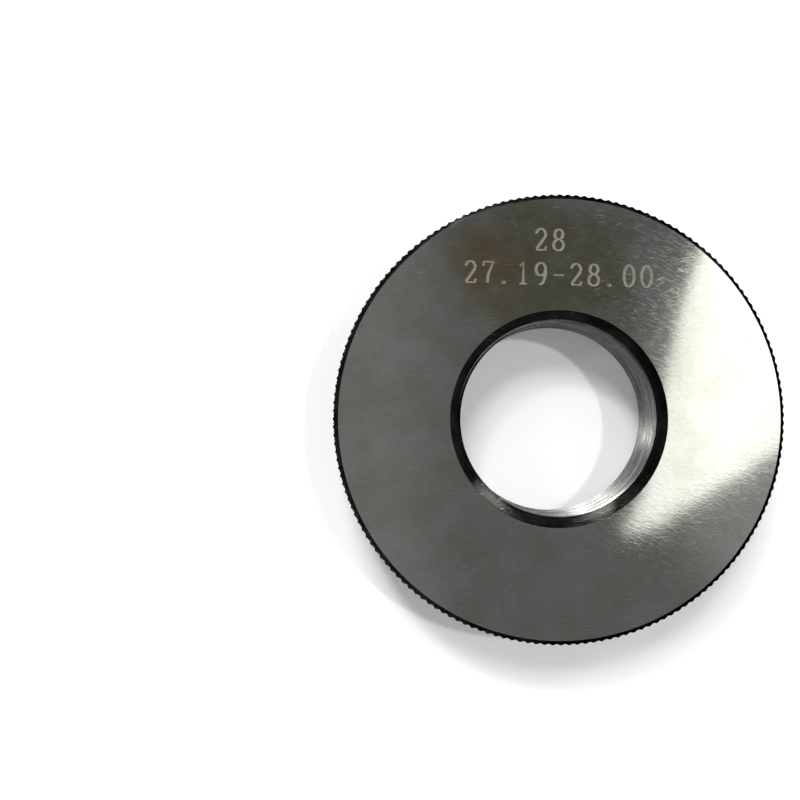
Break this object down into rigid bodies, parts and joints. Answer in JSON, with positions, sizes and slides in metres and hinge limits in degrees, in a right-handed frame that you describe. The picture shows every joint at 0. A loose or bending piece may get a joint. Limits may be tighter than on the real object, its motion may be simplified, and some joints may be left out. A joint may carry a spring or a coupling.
{
  "type": "thread ring gauge",
  "caption": "Solid thread ring gauge: flat steel ring with a fine threaded bore, chamfered mouths, ground faces and a diamond-knurled rim.",
  "frame": {"origin": "middle of the ring's lower face, on the bore's axis, where the ring lies on a table", "axes": "+Z along the bore's axis, up through the marked face; +Y towards the side of the face that carries the marks"},
  "size_m": [0.063, 0.063, 0.012],
  "materials": {
    "ground_steel": "ground, fine straight grain, small handling scratches"
  },
  "bodies": {
    "root": {"gauge_ring": "ground_steel"}
  },
  "joints": []
}
